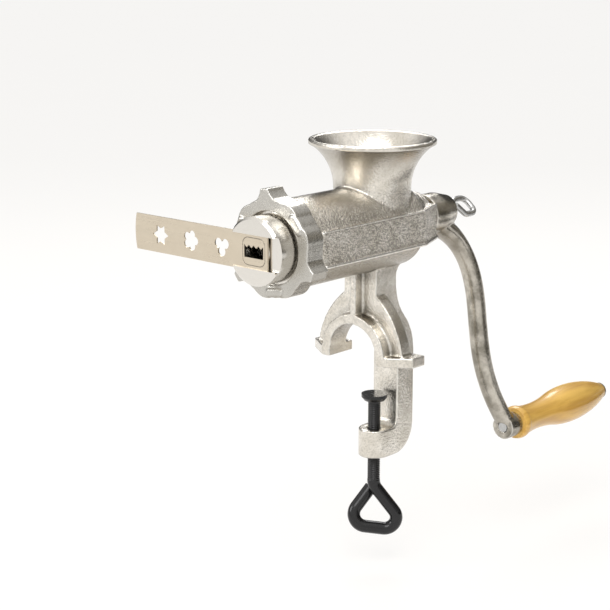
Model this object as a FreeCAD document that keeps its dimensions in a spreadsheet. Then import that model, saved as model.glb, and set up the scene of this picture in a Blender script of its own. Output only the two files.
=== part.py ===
import FreeCAD, Part
import math
import os
import Sketcher
from types import SimpleNamespace

# Hand-cranked food mincer with a biscuit press head, clamped to a table edge.
# Frame: the feet stand on Z = 0 and the clamp screw runs along Z through the origin.
# The barrel lies along X: the outlet faces -X, the crank is on +X.

VEC = FreeCAD.Vector
FULL_TURN = 360

DRIVING_SIZES = {
    # Barrel, bore and bearing of the casting
    "axis_height": 99.5,
    "barrel_radius": 32.3,
    "taper_start": 18,
    "boss_start": 39,
    "barrel_rear": 46,
    "boss_radius": 20,
    "bore_radius": 26,
    "bore_end": 6,
    "thread_radius": 31.5,
    "thread_relief": 1.5,
    "panel_height": 25,
    "panel_reach": 33,
    "panel_rear_reach": 22,
    "bead_height": 2.4,
    "bead_proud": 1.2,
    # Hopper
    "hopper_offset": 5,
    "neck_radius": 29,
    "neck_height": 30,
    "rim_radius": 47.5,
    "rim_height": 66,
    "hopper_wall": 4,
    "lip_height": 4,
    "lip_proud": 1.5,
    # Stand and clamp arm
    "plate_front": 18,
    "plate_thickness": 11,
    "rib_proud": 9,
    "stem_half_width": 2.5,
    "column_half_width": 15.5,
    "knee_height": 50,
    "leg_bulge": 66,
    "ankle_half_width": 41,
    "arch_radius": 22.5,
    "arch_spring": 5.5,
    "rim_width": 7.5,
    "foot_height": 7.5,
    "foot_depth": 27,
    "toe_half_width": 48,
    "spine_half_width": 12,
    "spine_rear": 32.5,
    "waist_rear": 10.5,
    "waist_height": 56,
    "throat_depth": 13,
    "jaw_gap": 58,
    "jaw_thickness": 22,
    "jaw_boss_radius": 12,
    # Ring nut
    "ring_face": 116.5,
    "ring_thickness": 16.5,
    "ring_lip": 5,
    "ring_hole_radius": 26.4,
    "ring_radius": 35.2,
    "lobe_reach": 42,
    "lobe_half_width": 12,
    "lobe_tip_half_width": 3.5,
    "bulge_radius": 14,
    "bulge_reach": 36.8,
    "grip_boss_radius": 2.8,
    "grip_boss_half_length": 5,
    "grip_boss_circle": 31.3,
    "grip_boss_proud": 1.6,
    "ring_turn": 8,
    # Biscuit head and pattern strip
    "flange_radius": 29,
    "flange_thickness": 4,
    "head_radius": 24.5,
    "head_front": 134,
    "head_chamfer": 1.8,
    "cavity_radius": 21,
    "channel_depth": 3.5,
    "channel_height": 24,
    "channel_floor": 4,
    "outlet_radius": 10.5,
    "collar_wall": 2,
    "lip_thickness": 1,
    "strip_height": 26.6,
    "strip_thickness": 1.2,
    "strip_clearance": 0.15,
    "strip_near_end": 13,
    "strip_far_end": 118,
    "strip_end_round": 60,
    "motif_pitch": 31,
    "star_radius": 8,
    "star_waist": 4.8,
    "petal_radius": 3.1,
    "petal_circle": 4.4,
    "leaf_radius": 3.6,
    "leaf_circle": 3.8,
    "comb_width": 18,
    "comb_height": 9,
    "comb_tooth": 2,
    # Feed worm, its bearing and its front stud
    "worm_front": 103,
    "core_front_radius": 8.5,
    "core_rear_radius": 11.5,
    "flight_radius": 25,
    "flight_thickness": 5,
    "flight_pitch": 27,
    "flight_length": 86,
    "shoulder_radius": 14,
    "shoulder_length": 4,
    "journal_radius": 8,
    "bush_radius": 10.5,
    "bush_flange_radius": 14,
    "bush_flange_thickness": 2.5,
    "thrust_washer_thickness": 1.6,
    "square_width": 11,
    "stud_radius": 4.5,
    "stud_depth": 16,
    "stud_square": 8,
    "stud_reach": 12,
    # Crank and its screw
    "crank_angle": 12,
    "hub_front": 55,
    "hub_length": 30,
    "hub_radius": 16,
    "hub_rear_radius": 12.5,
    "crank_radius": 181,
    "arm_offset": 105,
    "arm_half_thickness": 6.5,
    "arm_half_width": 8,
    "pin_boss_front": 117,
    "pin_boss_length": 13,
    "pin_boss_radius": 10,
    "crank_screw_radius": 2.4,
    "crank_screw_depth": 15,
    "crank_loop_half_width": 8,
    "crank_loop_reach": 30,
    "crank_loop_tilt": 40,
    "crank_washer_radius": 8,
    "crank_washer_thickness": 2,
    # Handle
    "pin_radius": 4,
    "handle_washer_thickness": 1.6,
    "handle_washer_radius": 9.5,
    "grip_length": 127,
    "grip_radius": 15.8,
    "grip_neck_radius": 10.8,
    "grip_collar_radius": 13.5,
    "grip_end_radius": 6.6,
    "rivet_radius": 6.8,
    "rivet_thickness": 1.8,
    # Clamp screw and pad
    "table_thickness": 31,
    "pad_radius": 10,
    "pad_thickness": 5,
    "nose_radius": 4,
    "nose_length": 3,
    "screw_radius": 5,
    "screw_drop": 104.5,
    "loop_drop": 143.5,
    "loop_half_width": 29,
    "loop_turn": 45,
    # Fits
    "running_gap": 0.05,
    "thread_gap": 0.1,
    "seat_gap": 0.2,
}


class Size:
    """A number that remembers the sheet cells it was worked out from."""

    def __init__(self, value, text):
        self.value = value
        self.text = text

    @staticmethod
    def of(other):
        return other if isinstance(other, Size) else Size(float(other), repr(float(other)))

    def __add__(self, other):
        other = Size.of(other)
        return Size(self.value + other.value, f"({self.text} + {other.text})")

    def __sub__(self, other):
        other = Size.of(other)
        return Size(self.value - other.value, f"({self.text} - {other.text})")

    def __mul__(self, other):
        other = Size.of(other)
        return Size(self.value * other.value, f"({self.text} * {other.text})")

    def __truediv__(self, other):
        other = Size.of(other)
        return Size(self.value / other.value, f"({self.text} / {other.text})")

    def __neg__(self):
        return Size(-self.value, f"(0 - {self.text})")

    def __radd__(self, other):
        return Size.of(other) + self

    def __rsub__(self, other):
        return Size.of(other) - self

    def __rmul__(self, other):
        return Size.of(other) * self


doc = FreeCAD.newDocument("food_mincer")
sheet = doc.addObject("Spreadsheet::Sheet", "Dims")
for row, (alias, number) in enumerate(DRIVING_SIZES.items(), start=1):
    sheet.set(f"A{row}", alias)
    sheet.set(f"B{row}", str(number))
    sheet.setAlias(f"B{row}", alias)
doc.recompute()
cells = {alias: Size(float(getattr(sheet, alias)), f"Dims.{alias}") for alias in DRIVING_SIZES}
dim = SimpleNamespace(**cells)


def square_root(size):
    return Size(math.sqrt(size.value), f"sqrt({size.text})")


def bind(thing, name, size):
    """Ties one property of a document object to the sheet."""
    thing.setExpression(name, Size.of(size).text)


def place(thing, x=0, y=0, z=0, axis=VEC(1, 0, 0), angle=0):
    """Puts a sub-part in the frame: a shift, then a turn about an axis through it."""
    angle = Size.of(angle)
    shift = [Size.of(size) for size in (x, y, z)]
    base = VEC(*(size.value for size in shift))
    thing.Placement = FreeCAD.Placement(base, FreeCAD.Rotation(axis, angle.value))
    for letter, size in zip("xyz", shift):
        bind(thing, f"Placement.Base.{letter}", size)


def new_body(label):
    return doc.addObject("PartDesign::Body", label)


def new_sketch(body, name, plane, right=0, up=0, out=0):
    """A sketch on one of the body's own planes, shifted within it and along its normal."""
    sketch = body.newObject("Sketcher::SketchObject", name)
    origin_plane = next(feature for feature in body.Origin.OriginFeatures if feature.Role == plane)
    sketch.AttachmentSupport = [(origin_plane, "")]
    sketch.MapMode = "FlatFace"
    for letter, size in zip("xyz", (right, up, out)):
        bind(sketch, f"AttachmentOffset.Base.{letter}", size)
    return sketch


def arc_between(start, end, radius):
    """The short arc from start to end. Its centre is on the left for a positive radius."""
    chord = end - start
    half = chord.Length / 2
    height = math.sqrt(max(radius * radius - half * half, 0))
    left = VEC(-chord.y, chord.x, 0).normalize()
    centre = (start + end) * 0.5 + left * math.copysign(height, radius)
    first, last = (start, end) if radius > 0 else (end, start)
    angles = [math.atan2(point.y - centre.y, point.x - centre.x) for point in (first, last)]
    if angles[1] < angles[0]:
        angles[1] += 2 * math.pi
    return Part.ArcOfCircle(Part.Circle(centre, VEC(0, 0, 1), abs(radius)), *angles)


def outline(sketch, points, arcs=None):
    """A closed outline through points. arcs gives a signed radius to the stretch after a point."""
    arcs = {index: Size.of(radius) for index, radius in (arcs or {}).items()}
    sizes = [(Size.of(x), Size.of(y)) for x, y in points]
    corners = [VEC(x.value, y.value, 0) for x, y in sizes]
    count = len(corners)
    ends = []
    for index, corner in enumerate(corners):
        after = corners[(index + 1) % count]
        radius = arcs.get(index)
        if radius is None:
            edge = sketch.addGeometry(Part.LineSegment(corner, after))
        else:
            edge = sketch.addGeometry(arc_between(corner, after, radius.value))
        backwards = radius is not None and radius.value < 0
        ends.append((edge, 2, 1) if backwards else (edge, 1, 2))
    for index, (edge, first, last) in enumerate(ends):
        following = ends[(index + 1) % count]
        sketch.addConstraint(Sketcher.Constraint("Coincident", edge, last, following[0], following[1]))
    for (edge, first, last), corner, (x, y) in zip(ends, corners, sizes):
        for kind, number, size in (("DistanceX", corner.x, x), ("DistanceY", corner.y, y)):
            rule = sketch.addConstraint(Sketcher.Constraint(kind, edge, first, number))
            bind(sketch, f"Constraints[{rule}]", size)
    for index, radius in arcs.items():
        rule = sketch.addConstraint(Sketcher.Constraint("Radius", ends[index][0], abs(radius.value)))
        bind(sketch, f"Constraints[{rule}]", radius if radius.value > 0 else -radius)


def circle(sketch, radius, x=0, y=0):
    radius, x, y = Size.of(radius), Size.of(x), Size.of(y)
    edge = sketch.addGeometry(Part.Circle(VEC(x.value, y.value, 0), VEC(0, 0, 1), radius.value))
    rules = (("Radius", (edge, radius.value), radius),
             ("DistanceX", (edge, 3, x.value), x),
             ("DistanceY", (edge, 3, y.value), y))
    for kind, values, size in rules:
        rule = sketch.addConstraint(Sketcher.Constraint(kind, *values))
        bind(sketch, f"Constraints[{rule}]", size)


def pad(body, sketch, length, both_ways=False, towards_back=False, kind="Pad"):
    feature = body.newObject(f"PartDesign::{kind}", f"{sketch.Name}_{kind.lower()}")
    feature.Profile = sketch
    feature.SideType = "Symmetric" if both_ways else "One side"
    feature.Reversed = towards_back
    bind(feature, "Length", length)
    return feature


def pocket(body, sketch, length, both_ways=False, towards_back=False):
    return pad(body, sketch, length, both_ways, towards_back, kind="Pocket")


def revolve(body, sketch, axis="H_Axis", kind="Revolution"):
    feature = body.newObject(f"PartDesign::{kind}", f"{sketch.Name}_{kind.lower()}")
    feature.Profile = sketch
    feature.ReferenceAxis = (sketch, [axis])
    feature.Angle = FULL_TURN
    return feature


def turned(label, points, arcs=None):
    """A body turned about X from its half outline, which starts and ends on the axis."""
    body = new_body(label)
    sketch = new_sketch(body, f"{label}_section", "XZ_Plane")
    outline(sketch, points, arcs)
    revolve(body, sketch)
    return body


def ring_of(body, features, count, sketch):
    """Repeats features round the sketch's own normal axis."""
    pattern = body.newObject("PartDesign::PolarPattern", f"{sketch.Name}_ring")
    pattern.Originals = features
    pattern.Axis = (sketch, ["N_Axis"])
    pattern.Angle = FULL_TURN
    pattern.Occurrences = count
    body.Tip = pattern
    return pattern


# Places along the barrel axis that several pieces share
ring_front_x = -dim.ring_face
flange_front_x = ring_front_x + dim.ring_lip
mouth_x = flange_front_x + dim.flange_thickness
ring_rear_x = ring_front_x + dim.ring_thickness
hub_rear_x = dim.hub_front + dim.hub_length
head_front_x = -dim.head_front
channel_floor_x = head_front_x + dim.channel_depth
slot_front_x = head_front_x + dim.lip_thickness
slot_rear_x = slot_front_x + dim.strip_thickness + dim.strip_clearance * 2
strip_rear_x = slot_rear_x - dim.strip_clearance
worm_shoulder_x = dim.bore_end - dim.thrust_washer_thickness - dim.seat_gap
rib_front_x = -(dim.plate_front + dim.rib_proud)
washer_rear_x = hub_rear_x + dim.crank_washer_thickness
grip_washer_x = dim.pin_boss_front + dim.pin_boss_length + dim.seat_gap
grip_front_x = grip_washer_x + dim.handle_washer_thickness + dim.seat_gap
grip_rear_x = grip_front_x + dim.grip_length
pad_bottom_z = -(dim.table_thickness + dim.pad_thickness)


def arched_outline(sketch, half, arch_top, shoulder_radius):
    """A stand outline: its half, listed from the top down, the arch between the legs and the mirror half."""
    count = len(half)
    arcs = {1: shoulder_radius, 2 * count - 2: shoulder_radius}
    for index in (count - 1, count):
        arcs[index] = -dim.arch_radius
    outline(sketch, half + [arch_top] + [(-x, y) for x, y in reversed(half)], arcs)


def make_casting():
    """Barrel, hopper, stand and clamp arm, cast in one piece."""
    body = new_body("body_casting")
    column_top = dim.axis_height - dim.boss_radius

    # Barrel with its threaded mouth and its tapered bearing end
    sketch = new_sketch(body, "barrel", "XZ_Plane", up=dim.axis_height)
    shoulder_x = ring_rear_x + dim.thread_relief
    outline(sketch, [(mouth_x, 0), (mouth_x, dim.thread_radius), (shoulder_x, dim.thread_radius),
                     (shoulder_x, dim.barrel_radius), (dim.taper_start, dim.barrel_radius),
                     (dim.boss_start, dim.boss_radius), (dim.barrel_rear, dim.boss_radius),
                     (dim.barrel_rear, 0)])
    revolve(body, sketch)

    # Trumpet-shaped hopper with a rolled lip
    sketch = new_sketch(body, "hopper", "XZ_Plane", right=-dim.hopper_offset, up=dim.axis_height)
    flare_end = dim.rim_radius - dim.lip_proud
    flare_top = dim.rim_height - dim.lip_height
    flare_out = flare_end - dim.neck_radius
    flare_up = flare_top - dim.neck_height
    flare_radius = (flare_out * flare_out + flare_up * flare_up) / (flare_out * 2)
    outline(sketch, [(0, 0), (dim.neck_radius, 0), (dim.neck_radius, dim.neck_height),
                     (flare_end, flare_top), (dim.rim_radius, flare_top), (dim.rim_radius, dim.rim_height),
                     (0, dim.rim_height)],
            {2: -flare_radius})
    revolve(body, sketch, "V_Axis")

    # Raised panels along both sides of the barrel, each with a bead on its lower edge
    panel_front_x = shoulder_x + dim.thread_relief
    panel_bottom = dim.axis_height - dim.panel_height / 2
    bands = (("side_panel", panel_bottom, dim.panel_height, 0),
             ("side_bead", panel_bottom - dim.bead_height / 2, dim.bead_height, dim.bead_proud))
    for name, bottom, height, proud in bands:
        sketch = new_sketch(body, name, "XY_Plane", out=bottom)
        half = [(panel_front_x, dim.panel_reach + proud), (dim.taper_start, dim.panel_reach + proud),
                (dim.barrel_rear, dim.panel_rear_reach + proud)]
        outline(sketch, half + [(x, -y) for x, y in reversed(half)])
        pad(body, sketch, height)

    # A-shaped plate of the stand, and the upside-down Y of the rib in front of it
    arch = [(-dim.arch_radius, 0), (-dim.arch_radius, dim.arch_spring)]
    arch_top = (0, dim.arch_spring + dim.arch_radius)
    plate = [(-dim.column_half_width, column_top), (-dim.column_half_width, dim.knee_height),
             (-dim.ankle_half_width, dim.foot_height), (-dim.ankle_half_width, 0)]
    sketch = new_sketch(body, "plate", "YZ_Plane", out=-dim.plate_front)
    arched_outline(sketch, plate + arch, arch_top, dim.leg_bulge)
    pad(body, sketch, dim.plate_thickness)

    rim_radius = dim.arch_radius + dim.rim_width
    stem = dim.stem_half_width
    stem_foot = dim.arch_spring + square_root(rim_radius * rim_radius - stem * stem)
    rib = [(-stem, column_top), (-stem, stem_foot), (-rim_radius, dim.arch_spring), (-rim_radius, 0)]
    sketch = new_sketch(body, "rib", "YZ_Plane", out=rib_front_x)
    arched_outline(sketch, rib + arch, arch_top, rim_radius)
    pad(body, sketch, dim.rib_proud + dim.plate_thickness / 2)

    # Two feet, each cut back at the front corner of its toe
    foot_rear_x = rib_front_x + dim.foot_depth
    toe_cut = dim.toe_half_width - rim_radius
    for name, side in (("near_foot", -1), ("far_foot", 1)):
        sketch = new_sketch(body, name, "XY_Plane")
        inner, outer = dim.arch_radius * side, dim.toe_half_width * side
        outline(sketch, [(rib_front_x, inner), (foot_rear_x, inner), (foot_rear_x, outer),
                         (rib_front_x + toe_cut * 0.7, outer), (rib_front_x, rim_radius * side)])
        pad(body, sketch, dim.foot_height)

    # Spine that hooks round the table edge, and its lower jaw
    jaw_top = -dim.jaw_gap
    jaw_bottom = jaw_top - dim.jaw_thickness
    throat_round = dim.throat_depth - dim.screw_radius * 1.4
    throat_top = dim.arch_spring + dim.arch_radius
    swell = dim.spine_rear - dim.waist_rear
    swell_radius = (dim.waist_height * dim.waist_height + swell * swell) / (swell * 4)
    sketch = new_sketch(body, "spine", "XZ_Plane")
    outline(sketch, [(-dim.plate_front / 2, column_top), (dim.boss_start, column_top + dim.thread_relief),
                     (dim.waist_rear, dim.waist_height + dim.foot_height), (dim.waist_rear, dim.waist_height),
                     (dim.waist_rear + swell / 2, dim.waist_height / 2), (dim.spine_rear, 0),
                     (dim.spine_rear, jaw_top), (dim.spine_rear - dim.jaw_thickness, jaw_bottom),
                     (0, jaw_bottom), (0, jaw_top), (dim.throat_depth - throat_round, jaw_top),
                     (dim.throat_depth, jaw_top + throat_round),
                     (dim.throat_depth, throat_top - throat_round),
                     (dim.throat_depth - throat_round, throat_top), (-dim.plate_front / 2, throat_top)],
            {1: dim.spine_rear, 3: swell_radius, 4: -swell_radius, 6: -dim.jaw_thickness, 10: throat_round,
             12: throat_round})
    pad(body, sketch, dim.spine_half_width * 2, both_ways=True)
    sketch = new_sketch(body, "jaw_boss", "XY_Plane", out=jaw_bottom)
    circle(sketch, dim.jaw_boss_radius)
    pad(body, sketch, dim.jaw_thickness)

    # Bore, bearing hole, hopper throat and screw hole
    sketch = new_sketch(body, "bore", "XZ_Plane", up=dim.axis_height)
    bearing_radius = dim.bush_radius + dim.running_gap
    outline(sketch, [(mouth_x - dim.seat_gap, 0), (mouth_x - dim.seat_gap, dim.bore_radius),
                     (dim.bore_end, dim.bore_radius), (dim.bore_end, bearing_radius),
                     (dim.barrel_rear + dim.seat_gap, bearing_radius), (dim.barrel_rear + dim.seat_gap, 0)])
    revolve(body, sketch, kind="Groove")
    sketch = new_sketch(body, "hopper_throat", "XZ_Plane", right=-dim.hopper_offset, up=dim.axis_height)
    throat_radius = dim.neck_radius - dim.hopper_wall
    mouth_radius = dim.rim_radius - dim.hopper_wall
    flare_out = mouth_radius - throat_radius
    flare_up = dim.rim_height - dim.neck_height
    flare_radius = (flare_out * flare_out + flare_up * flare_up) / (flare_out * 2)
    outline(sketch, [(0, 0), (throat_radius, 0), (throat_radius, dim.neck_height),
                     (mouth_radius, dim.rim_height), (0, dim.rim_height)],
            {2: -flare_radius})
    revolve(body, sketch, "V_Axis", kind="Groove")
    sketch = new_sketch(body, "screw_hole", "XY_Plane", out=jaw_bottom)
    circle(sketch, dim.screw_radius + dim.thread_gap)
    pocket(body, sketch, dim.jaw_thickness, towards_back=True)
    return body


def make_ring_nut():
    """Lobed ring that holds the head against the barrel's mouth."""
    body = new_body("ring_nut")
    sketch = new_sketch(body, "ring_disc", "YZ_Plane", out=ring_front_x)
    circle(sketch, dim.ring_radius)
    pad(body, sketch, dim.ring_thickness)
    sketch = new_sketch(body, "ring_lobe", "YZ_Plane", out=ring_front_x)
    root = square_root(dim.ring_radius * dim.ring_radius - dim.lobe_half_width * dim.lobe_half_width) - 1
    outline(sketch, [(-dim.lobe_half_width, root), (dim.lobe_half_width, root),
                     (dim.lobe_tip_half_width, dim.lobe_reach), (-dim.lobe_tip_half_width, dim.lobe_reach)],
            {1: -dim.bulge_radius, 3: -dim.bulge_radius})
    lobes = pad(body, sketch, dim.ring_thickness)
    ring_of(body, [lobes], 3, sketch)
    for name, angle in (("first_bulge", 40), ("second_bulge", 80)):
        sketch = new_sketch(body, name, "YZ_Plane", out=ring_front_x)
        centre = dim.bulge_reach - dim.bulge_radius
        turn = math.radians(angle)
        circle(sketch, dim.bulge_radius, centre * math.sin(turn), centre * math.cos(turn))
        bulges = pad(body, sketch, dim.ring_thickness)
        ring_of(body, [bulges], 3, sketch)
    # Three oblong grip bosses on the face, between the lobes
    sketch = new_sketch(body, "grip_boss", "YZ_Plane", out=ring_front_x)
    low = -(dim.grip_boss_circle + dim.grip_boss_radius)
    high = -(dim.grip_boss_circle - dim.grip_boss_radius)
    tip = dim.grip_boss_half_length + dim.grip_boss_radius
    outline(sketch, [(-dim.grip_boss_half_length, low), (dim.grip_boss_half_length, low),
                     (tip, -dim.grip_boss_circle), (dim.grip_boss_half_length, high),
                     (-dim.grip_boss_half_length, high), (-tip, -dim.grip_boss_circle)],
            {index: dim.grip_boss_radius for index in (1, 2, 4, 5)})
    bosses = pad(body, sketch, dim.grip_boss_proud, towards_back=True)
    ring_of(body, [bosses], 3, sketch)
    sketch = new_sketch(body, "ring_bore", "XZ_Plane")
    thread_bore = dim.thread_radius + dim.thread_gap
    outline(sketch, [(ring_front_x - dim.seat_gap, 0), (ring_front_x - dim.seat_gap, dim.ring_hole_radius),
                     (flange_front_x, dim.ring_hole_radius), (flange_front_x, thread_bore),
                     (ring_rear_x + dim.seat_gap, thread_bore), (ring_rear_x + dim.seat_gap, 0)])
    revolve(body, sketch, kind="Groove")
    place(body, z=dim.axis_height, angle=-dim.ring_turn)
    return body


def make_biscuit_head():
    """Cup that carries the pattern strip across the outlet."""
    body = new_body("biscuit_head")
    sketch = new_sketch(body, "head_section", "XZ_Plane")
    cavity_x = channel_floor_x + dim.channel_floor
    outline(sketch, [(head_front_x, 0), (head_front_x, dim.head_radius - dim.head_chamfer),
                     (head_front_x + dim.head_chamfer, dim.head_radius), (flange_front_x, dim.head_radius),
                     (flange_front_x, dim.flange_radius), (mouth_x, dim.flange_radius),
                     (mouth_x, dim.cavity_radius), (cavity_x, dim.cavity_radius), (cavity_x, 0)])
    revolve(body, sketch)
    head_width = dim.head_radius * 3
    cuts = (("channel", head_front_x, channel_floor_x, dim.channel_height),
            ("strip_slot", slot_front_x, slot_rear_x, dim.strip_height + dim.strip_clearance * 2))
    for name, front, rear, height in cuts:
        sketch = new_sketch(body, name, "XZ_Plane")
        outline(sketch, [(front, -height / 2), (rear, -height / 2), (rear, height / 2), (front, height / 2)])
        pocket(body, sketch, head_width, both_ways=True)
    sketch = new_sketch(body, "outlet_collar", "YZ_Plane", out=channel_floor_x)
    circle(sketch, dim.outlet_radius + dim.collar_wall)
    pad(body, sketch, channel_floor_x - slot_rear_x, towards_back=True)
    sketch = new_sketch(body, "outlet", "YZ_Plane", out=cavity_x)
    circle(sketch, dim.outlet_radius)
    pocket(body, sketch, cavity_x - slot_rear_x)
    place(body, z=dim.axis_height)
    return body


def rosette(count, petal, distance, first):
    """Corners of a flower of round petals, valley and tip in turn. first is the angle of one petal."""
    half = math.pi / count
    valley = distance * math.cos(half)
    depth = square_root(petal * petal - distance * distance * math.sin(half) ** 2)
    corners = []
    for index in range(count):
        angle = 2 * index * half + first
        for turn, reach in ((angle - half, valley + depth), (angle, distance + petal)):
            corners.append((reach * math.cos(turn), reach * math.sin(turn)))
    return corners, {index: petal for index in range(2 * count)}


def make_pattern_strip():
    """Sliding strip with four outlet shapes: comb, clover, flower and star."""
    body = new_body("pattern_strip")
    half_height = dim.strip_height / 2
    sketch = new_sketch(body, "strip", "YZ_Plane", out=strip_rear_x)
    outline(sketch, [(-dim.strip_near_end, -half_height), (dim.strip_far_end, -half_height),
                     (dim.strip_far_end, half_height), (-dim.strip_near_end, half_height)],
            {1: dim.strip_end_round})
    pad(body, sketch, dim.strip_thickness, towards_back=True)

    half_comb = dim.comb_width / 2
    top, root = dim.comb_height / 2, dim.comb_height / 2 - dim.comb_tooth
    teeth = 4
    comb = [(-half_comb, -top), (half_comb, -top)]
    for index in range(2 * teeth + 1):
        comb.append((half_comb - dim.comb_width * (index / (2 * teeth)), root if index % 2 else top))
    star = []
    for index in range(12):
        angle = math.radians(30 * index)
        reach = dim.star_waist if index % 2 else dim.star_radius
        star.append((reach * math.cos(angle), reach * math.sin(angle)))
    motifs = (("comb", comb, {}), ("clover", *rosette(3, dim.leaf_radius, dim.leaf_circle, -math.pi / 2)),
              ("flower", *rosette(5, dim.petal_radius, dim.petal_circle, math.pi)), ("star", star, {}))
    for index, (name, corners, arcs) in enumerate(motifs):
        sketch = new_sketch(body, name, "YZ_Plane", right=dim.motif_pitch * index, out=strip_rear_x)
        outline(sketch, corners, arcs)
        pocket(body, sketch, dim.strip_thickness)
    place(body, z=dim.axis_height)
    return body


def make_feed_worm():
    """Worm with a helical flight, a journal and a square end for the crank."""
    body = new_body("feed_worm")
    front_x = -dim.worm_front
    square_front_x = dim.hub_front + 1
    square_rear_x = hub_rear_x - dim.crank_screw_radius
    sketch = new_sketch(body, "worm_section", "XZ_Plane")
    outline(sketch, [(front_x, 0), (front_x, dim.core_front_radius),
                     (worm_shoulder_x - dim.shoulder_length, dim.core_rear_radius),
                     (worm_shoulder_x - dim.shoulder_length, dim.shoulder_radius),
                     (worm_shoulder_x, dim.shoulder_radius), (worm_shoulder_x, dim.journal_radius),
                     (square_front_x, dim.journal_radius), (square_front_x, 0)])
    revolve(body, sketch)
    sketch = new_sketch(body, "square_end", "YZ_Plane", out=square_front_x)
    half = dim.square_width / 2
    outline(sketch, [(-half, -half), (half, -half), (half, half), (-half, half)])
    pad(body, sketch, square_rear_x - square_front_x)
    sketch = new_sketch(body, "flight", "XZ_Plane")
    inner = dim.core_front_radius - 2
    flight_x = front_x + 2
    outline(sketch, [(flight_x, inner), (flight_x + dim.flight_thickness, inner),
                     (flight_x + dim.flight_thickness * 0.8, dim.flight_radius),
                     (flight_x + dim.flight_thickness * 0.2, dim.flight_radius)])
    helix = body.newObject("PartDesign::AdditiveHelix", "flight_helix")
    helix.Profile = sketch
    helix.ReferenceAxis = (sketch, ["H_Axis"])
    helix.Mode = "pitch-height-angle"
    bind(helix, "Pitch", dim.flight_pitch)
    bind(helix, "Height", dim.flight_length)
    sketch = new_sketch(body, "stud_hole", "YZ_Plane", out=front_x)
    circle(sketch, dim.stud_radius + dim.running_gap)
    pocket(body, sketch, dim.stud_depth, towards_back=True)
    sketch = new_sketch(body, "screw_thread_hole", "YZ_Plane", out=square_rear_x)
    circle(sketch, dim.crank_screw_radius + dim.running_gap)
    pocket(body, sketch, dim.crank_screw_depth + dim.seat_gap)
    place(body, z=dim.axis_height, angle=-dim.crank_angle)
    return body


def make_worm_stud():
    """Square-headed stud in the worm's nose, which drives a knife when one is fitted."""
    body = new_body("worm_stud")
    nose_x = -dim.worm_front
    sketch = new_sketch(body, "stud_shank", "YZ_Plane", out=nose_x)
    circle(sketch, dim.stud_radius)
    pad(body, sketch, dim.stud_depth - dim.seat_gap)
    sketch = new_sketch(body, "stud_head", "YZ_Plane", out=nose_x)
    half = dim.stud_square / 2
    outline(sketch, [(-half, -half), (half, -half), (half, half), (-half, half)])
    pad(body, sketch, dim.stud_reach, towards_back=True)
    place(body, z=dim.axis_height, angle=-dim.crank_angle)
    return body


def make_bearing():
    """Flanged bush in the casting's rear wall, and the washer that takes the worm's thrust."""
    inner = dim.journal_radius + dim.running_gap
    flange_x = dim.barrel_rear + dim.bush_flange_thickness
    bush = turned("rear_bush", [(dim.bore_end, inner), (dim.bore_end, dim.bush_radius),
                                (dim.barrel_rear, dim.bush_radius), (dim.barrel_rear, dim.bush_flange_radius),
                                (flange_x, dim.bush_flange_radius), (flange_x, inner)])
    place(bush, z=dim.axis_height)
    front = worm_shoulder_x + dim.seat_gap / 2
    rear = front + dim.thrust_washer_thickness
    washer = turned("thrust_washer", [(front, inner), (front, dim.shoulder_radius),
                                      (rear, dim.shoulder_radius), (rear, inner)])
    place(washer, z=dim.axis_height)
    return [bush, washer]


def cylinder_along_x(name, radius, start, length, down=0):
    cylinder = doc.addObject("Part::Cylinder", name)
    bind(cylinder, "Radius", radius)
    bind(cylinder, "Height", length)
    place(cylinder, x=start, z=-Size.of(down), axis=VEC(0, 1, 0), angle=90)
    return cylinder


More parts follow.
